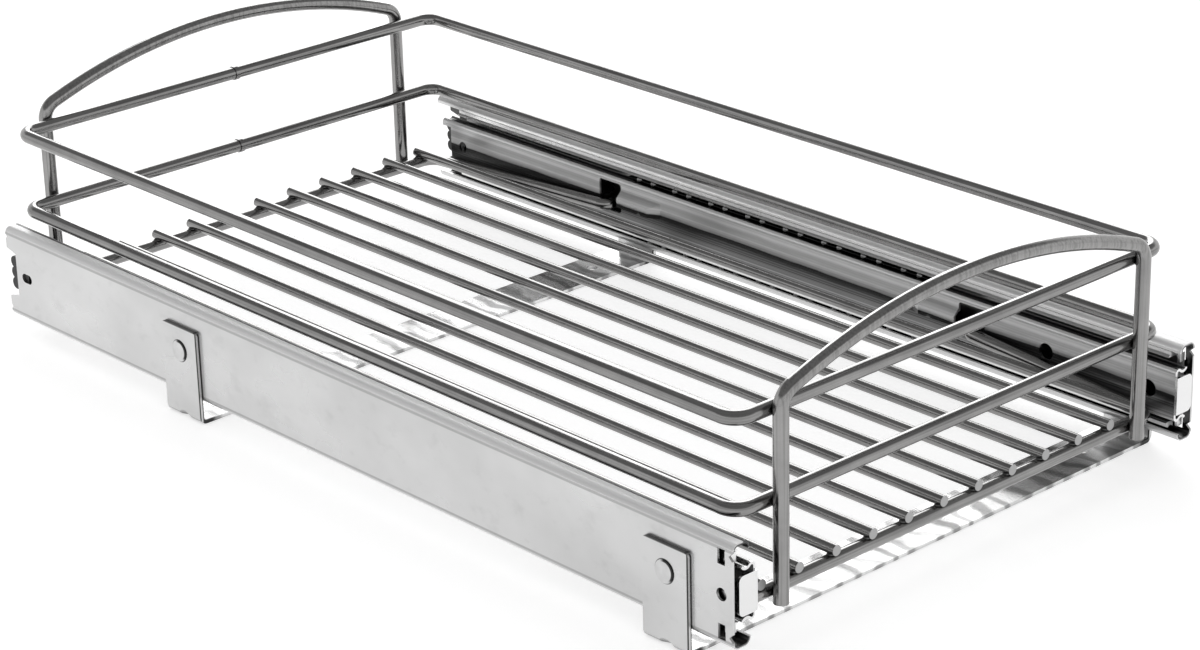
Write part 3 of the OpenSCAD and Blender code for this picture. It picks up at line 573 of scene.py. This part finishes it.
def weldRow(name, places, look):
    beads = [oneBead(at, look["size"], look["firstSeed"] + i) for i, at in enumerate(places)]
    bpy.ops.object.select_all(action="DESELECT")
    for bead in beads:
        bead.select_set(True)
    bpy.context.view_layer.objects.active = beads[0]
    bpy.ops.object.join()
    joined = bpy.context.active_object
    joined.name = name
    joined.data.materials.clear()
    joined.data.materials.append(weldFinish)
    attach(joined, "basket")


for end, alongY in floorWelds["alongY"].items():
    across = [floorWelds["firstX"] + i * floorWelds["pitch"] for i in range(floorWelds["count"])]
    weldRow(end + "FloorWelds", [(x, alongY, floorWelds["height"]) for x in across], floorWelds)
for end, alongY in legWelds["alongY"].items():
    legs = [side * legWelds["legX"] for side in (-1, 1)]
    weldRow(end + "LegWelds", [(x, alongY, height) for x in legs for height in legWelds["heights"]], legWelds)
print("weld beads made")


# camera as the photograph was taken, angles in degrees, lens and sensor in millimetres
photoView = {
    "at": (-0.95635, -1.07725, 0.62474), "azimuth": -42.261, "elevation": 22.35, "roll": -1.417,
    "lens": 100.647, "sensor": 36, "clip": (0.05, 100),
}


def placeCamera(look):
    az, el, roll = (math.radians(look[key]) for key in ("azimuth", "elevation", "roll"))
    back = Vector((math.sin(az) * math.cos(el), -math.cos(az) * math.cos(el), math.sin(el)))
    right = (-back).cross(Vector((0, 0, 1))).normalized()
    up = right.cross(-back)
    turnedRight = math.cos(roll) * right + math.sin(roll) * up
    turnedUp = math.cos(roll) * up - math.sin(roll) * right
    data = bpy.data.cameras.new("photoCamera")
    data.sensor_fit = "HORIZONTAL"
    data.sensor_width = look["sensor"]
    data.lens = look["lens"]
    data.clip_start, data.clip_end = look["clip"]
    cam = bpy.data.objects.new("photoCamera", data)
    bpy.context.scene.collection.objects.link(cam)
    turn = Matrix((turnedRight, turnedUp, back)).transposed().to_4x4()
    cam.matrix_world = Matrix.Translation(look["at"]) @ turn
    bpy.context.scene.camera = cam


placeCamera(photoView)
print("camera placed")


# plain pale studio: white behind and below, a darker ceiling that metal shows
studio = {
    "floorSize": 14.0, "floorTone": 0.72, "floorGlow": 0.64,
    "ceiling": {"From_Min": 0.40, "From_Max": 0.54, "To_Min": 1.0, "To_Max": 0.30}, "fill": 0.3,
}
lamps = {
    "topPanel": {"at": (0.1, 0.2, 2.2), "size": (2.6, 2.2), "watts": 13, "mirrored": False},
    "frontPanel": {"at": (-1.0, -2.2, 1.6), "size": (1.8, 1.4), "watts": 6, "mirrored": False},
    "backPanel": {"at": (1.50, 1.65, 0.95), "size": (1.5, 1.8), "watts": 26, "mirrored": True},
}
lampTarget = (0, 0, 0.05)


def whereSeen(tree):
    # one where the camera, a gloss or a clear surface looks
    path = addNode(tree, "ShaderNodeLightPath").outputs
    return largest(tree, path["Is Camera Ray"], path["Is Glossy Ray"], path["Is Transmission Ray"])


def makeFloor(look):
    bpy.ops.mesh.primitive_plane_add(size=look["floorSize"], location=(0, 0, 0))
    floor = bpy.context.active_object
    floor.name = "studioFloor"
    mat, tree = newMaterial("paleFloor")
    diffuse = addNode(tree, "ShaderNodeBsdfDiffuse")
    plug(tree, grey(look["floorTone"]), diffuse.inputs["Color"])
    glow = addNode(tree, "ShaderNodeEmission")
    plug(tree, grey(1.0), glow.inputs["Color"])
    plug(tree, times(tree, whereSeen(tree), look["floorGlow"]), glow.inputs["Strength"])
    both = addNode(tree, "ShaderNodeAddShader")
    out = addNode(tree, "ShaderNodeOutputMaterial")
    tree.links.new(diffuse.outputs[0], both.inputs[0])
    tree.links.new(glow.outputs[0], both.inputs[1])
    tree.links.new(both.outputs[0], out.inputs["Surface"])
    floor.data.materials.append(mat)


def makeWorld(look):
    world = bpy.data.worlds.new("paleWorld")
    bpy.context.scene.world = world
    world.use_nodes = True
    tree = world.node_tree
    tree.nodes.clear()
    seen = whereSeen(tree)
    coords = addNode(tree, "ShaderNodeTexCoord")
    split = addNode(tree, "ShaderNodeSeparateXYZ")
    tree.links.new(coords.outputs["Generated"], split.inputs[0])
    ceiling = addNode(tree, "ShaderNodeMapRange", interpolation_type="SMOOTHSTEP", **look["ceiling"])
    tree.links.new(split.outputs["Z"], ceiling.inputs["Value"])
    path = addNode(tree, "ShaderNodeLightPath")
    shown = largest(tree, ceiling.outputs["Result"], path.outputs["Is Camera Ray"])
    fill = times(tree, opposite(tree, seen), look["fill"])
    background = addNode(tree, "ShaderNodeBackground", Color=(1, 1, 1, 1))
    out = addNode(tree, "ShaderNodeOutputWorld")
    tree.links.new(calc(tree, "MULTIPLY_ADD", seen, shown, fill), background.inputs["Strength"])
    tree.links.new(background.outputs[0], out.inputs["Surface"])


def makeLamps(setup):
    for name, look in setup.items():
        data = bpy.data.lights.new(name, "AREA")
        data.shape = "RECTANGLE"
        data.size, data.size_y = look["size"]
        data.energy = look["watts"]
        lamp = bpy.data.objects.new(name, data)
        bpy.context.scene.collection.objects.link(lamp)
        lamp.visible_glossy = look["mirrored"]
        aim = Vector(look["at"]) - Vector(lampTarget)
        lamp.matrix_world = Matrix.Translation(look["at"]) @ aim.to_track_quat("Z", "Y").to_matrix().to_4x4()


makeFloor(studio)
makeWorld(studio)
makeLamps(lamps)
scene = bpy.context.scene
scene.view_settings.view_transform = "Standard"
print("studio ready")
